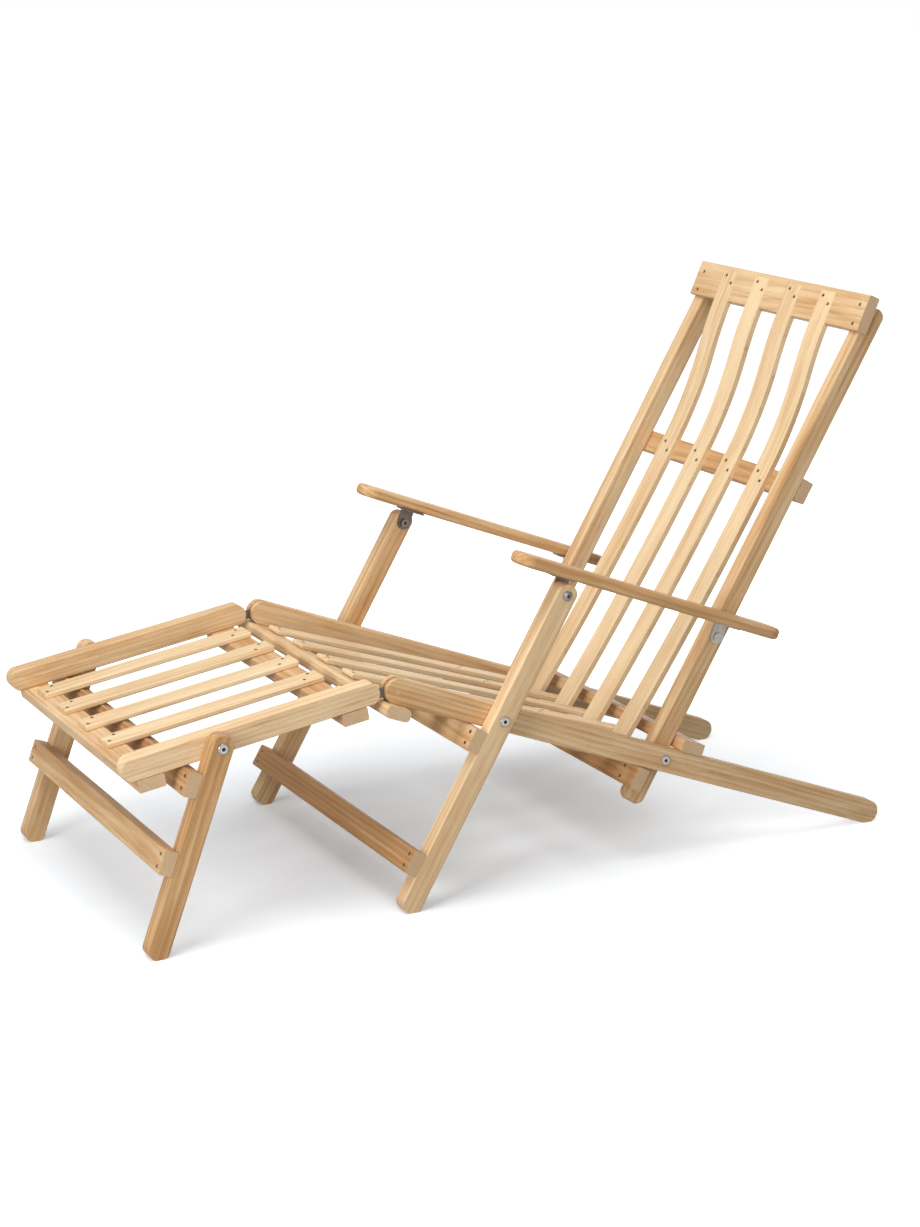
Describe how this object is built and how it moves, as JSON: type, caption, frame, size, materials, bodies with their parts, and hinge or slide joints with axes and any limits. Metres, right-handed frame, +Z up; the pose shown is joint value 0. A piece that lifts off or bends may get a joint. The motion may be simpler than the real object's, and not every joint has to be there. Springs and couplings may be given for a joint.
{
  "type": "folding deck chair",
  "caption": "Folding wooden deck chair with a reclined slatted back on linked legs and armrests, and a slatted footrest on its own folding legs.",
  "frame": {"origin": "centre of the bounding box on the floor", "axes": "+X from the footrest to the back, +Y to the chair's right side seen from behind the headrest, +Z up"},
  "size_m": [1.3494, 0.6124, 0.8968],
  "materials": {
    "wood": "satin",
    "slat_wood": "satin",
    "steel": "satin",
    "dark_steel": "satin"
  },
  "bodies": {
    "seat": {"seat_rail_left": "wood", "seat_rail_right": "wood", "seat_front_bar": "wood", "seat_rear_bar": "wood", "back_rest_bar": "wood", "seat_slat_1": "slat_wood", "seat_slat_2": "slat_wood", "seat_slat_3": "slat_wood", "seat_slat_4": "slat_wood", "seat_slat_5": "slat_wood", "seat_screws": "dark_steel", "seat_dowels": "wood", "hinge_pins": "wood", "leg_pivot_bolts": "steel", "back_pivot_bolts": "steel"},
    "backrest": {"upright_left": "wood", "upright_right": "wood", "headrest_board": "wood", "mid_back_bar": "wood", "lower_back_bar": "wood", "back_slat_1": "slat_wood", "back_slat_2": "slat_wood", "back_slat_3": "slat_wood", "back_slat_4": "slat_wood", "back_screws": "dark_steel", "arm_rear_bolts": "steel"},
    "front_legs": {"front_leg_left": "wood", "front_leg_right": "wood", "leg_stop_bar": "wood", "leg_stretcher": "wood", "leg_screws": "dark_steel", "arm_front_bolts": "steel"},
    "armrest_left": {"armrest_left": "wood", "arm_front_bracket_left": "steel", "arm_rear_bracket_left": "steel", "arm_screws_left": "dark_steel"},
    "armrest_right": {"armrest_right": "wood", "arm_front_bracket_right": "steel", "arm_rear_bracket_right": "steel", "arm_screws_right": "dark_steel"},
    "footrest": {"foot_rail_left": "wood", "foot_rail_right": "wood", "foot_front_bar": "wood", "foot_rear_bar": "wood", "foot_slat_1": "slat_wood", "foot_slat_2": "slat_wood", "foot_slat_3": "slat_wood", "foot_slat_4": "slat_wood", "foot_slat_5": "slat_wood", "foot_screws": "dark_steel", "hinge_blades": "steel", "blade_pins": "dark_steel", "foot_pivot_bolts": "steel"},
    "footrest_legs": {"foot_leg_left": "wood", "foot_leg_right": "wood", "foot_stop_bar": "wood", "foot_stretcher": "wood", "foot_leg_screws": "dark_steel"}
  },
  "joints": [
    {"name": "back_fold", "type": "hinge", "parent": "seat", "child": "backrest", "pos_m": [0.24664, 0, 0.17108], "axis": [0, -1, 0], "range_deg": [0, 60]},
    {"name": "leg_fold", "type": "hinge", "parent": "seat", "child": "front_legs", "pos_m": [-0.0634, 0, 0.287], "axis": [0, -1, 0], "range_deg": [0, 60]},
    {"name": "arm_left_turn", "type": "hinge", "parent": "front_legs", "child": "armrest_left", "pos_m": [0.0446, 0, 0.47406], "axis": [0, -1, 0], "range_deg": [-60, 0]},
    {"name": "arm_right_turn", "type": "hinge", "parent": "front_legs", "child": "armrest_right", "pos_m": [0.0446, 0, 0.47406], "axis": [0, -1, 0], "range_deg": [-60, 0]},
    {"name": "footrest_tilt", "type": "hinge", "parent": "seat", "child": "footrest", "pos_m": [-0.232, 0, 0.35004], "axis": [0, 1, 0], "range_deg": [0, 55]},
    {"name": "footrest_leg_fold", "type": "hinge", "parent": "footrest", "child": "footrest_legs", "pos_m": [-0.52951, 0, 0.31019], "axis": [0, -1, 0], "range_deg": [0, 95]}
  ],
  "couplings": [
    {"joint": "leg_fold", "follows": "back_fold", "ratio": 1},
    {"joint": "arm_left_turn", "follows": "back_fold", "ratio": -1},
    {"joint": "arm_right_turn", "follows": "back_fold", "ratio": -1}
  ]
}
